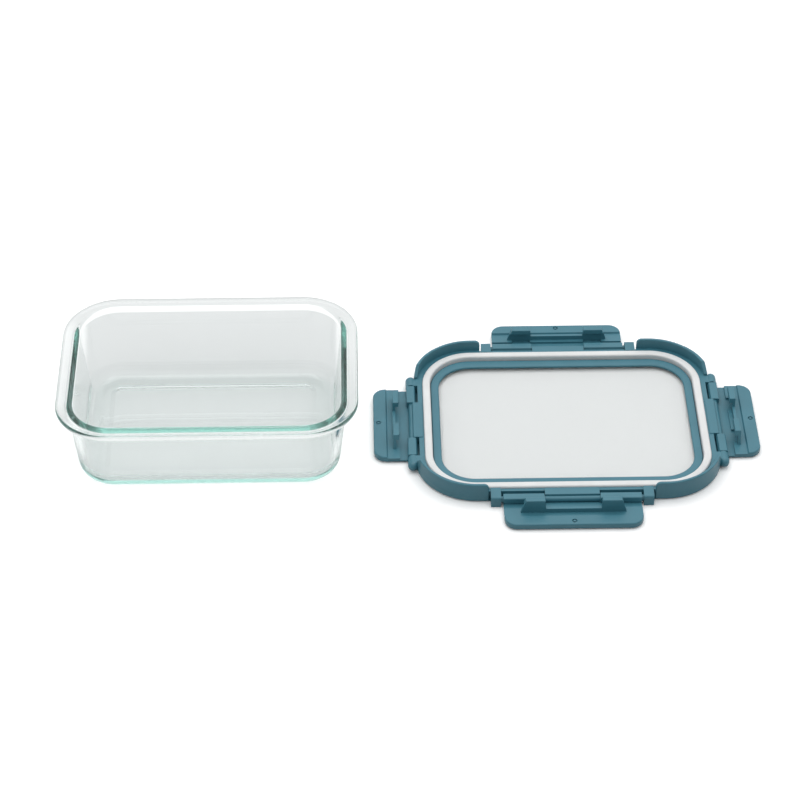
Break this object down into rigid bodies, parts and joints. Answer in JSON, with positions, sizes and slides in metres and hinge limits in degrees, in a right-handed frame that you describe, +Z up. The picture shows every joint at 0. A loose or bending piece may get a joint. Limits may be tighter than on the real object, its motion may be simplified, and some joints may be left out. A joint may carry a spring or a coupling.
{
  "type": "snap-lock food storage container",
  "caption": "Rectangular clear glass food container with a flat rim, and its snap-lock lid with a clear window, a seal ring and a hinged latch on each side.",
  "frame": {"origin": "centre of the glass container's underside", "axes": "+X along the container's long side, towards the lid lying beside it; +Y towards the back; +Z up"},
  "size_m": [0.4008, 0.1788, 0.049],
  "materials": {
    "container_glass": "clear, fire polished",
    "teal_plastic": "satin",
    "window_pane": "clear",
    "white_silicone": "matte"
  },
  "bodies": {
    "container": {"glass_container": "container_glass"},
    "lid": {"lid_frame": "teal_plastic", "lid_window": "window_pane", "seal_gasket": "white_silicone"},
    "front_latch": {"latch_front": "teal_plastic"},
    "back_latch": {"latch_back": "teal_plastic"},
    "left_latch": {"latch_left": "teal_plastic"},
    "right_latch": {"latch_right": "teal_plastic"}
  },
  "joints": [
    {"name": "lid_turnover", "type": "hinge", "parent": "container", "child": "lid", "pos_m": [0.10235, 0, 0.0281], "axis": [0, -1, 0], "range_deg": [0, 180]},
    {"name": "front_latch_hinge", "type": "hinge", "parent": "lid", "child": "front_latch", "pos_m": [0.2047, -0.0671, 0.0033], "axis": [-1, 0, 0], "range_deg": [0, 90]},
    {"name": "back_latch_hinge", "type": "hinge", "parent": "lid", "child": "back_latch", "pos_m": [0.2047, 0.0671, 0.0033], "axis": [1, 0, 0], "range_deg": [0, 90]},
    {"name": "left_latch_hinge", "type": "hinge", "parent": "lid", "child": "left_latch", "pos_m": [0.1159, 0, 0.0033], "axis": [0, 1, 0], "range_deg": [0, 90]},
    {"name": "right_latch_hinge", "type": "hinge", "parent": "lid", "child": "right_latch", "pos_m": [0.2935, 0, 0.0033], "axis": [0, -1, 0], "range_deg": [0, 90]}
  ]
}
